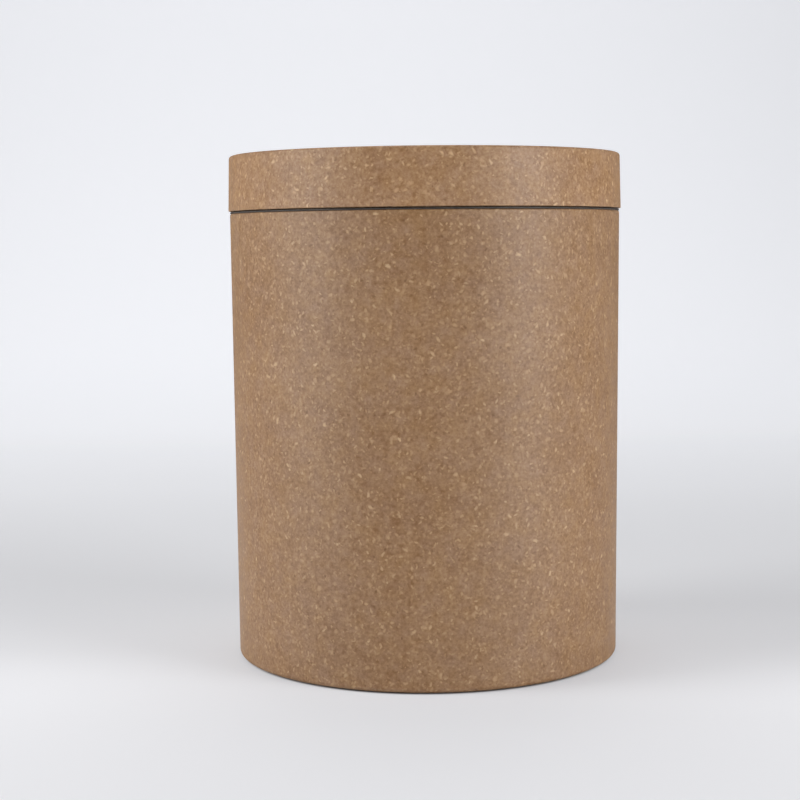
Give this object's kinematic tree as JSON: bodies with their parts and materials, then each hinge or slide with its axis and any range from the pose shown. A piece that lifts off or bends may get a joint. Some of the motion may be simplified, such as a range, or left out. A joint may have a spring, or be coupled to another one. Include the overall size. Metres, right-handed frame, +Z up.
{
  "type": "pet treat canister",
  "caption": "Round straight-sided storage canister in speckled plant-fibre composite, with a flush push-in lid and a dark silicone seal.",
  "frame": {"origin": "centre of the foot ring, on the surface that the canister stands on", "axes": "+Z up along the turned axis, through the lid"},
  "size_m": [0.131, 0.131, 0.1675],
  "materials": {
    "plant_fibre": "satin, fine light and dark fibre specks",
    "silicone": "matt"
  },
  "bodies": {
    "canister": {"canister_body": "plant_fibre"},
    "lid": {"lid_cap": "plant_fibre", "lid_plug": "plant_fibre", "seal_ring": "silicone"}
  },
  "joints": [
    {"name": "lid_lift", "type": "slide", "parent": "canister", "child": "lid", "axis": [0, 0, 1], "range_m": [0, 0.12]}
  ]
}
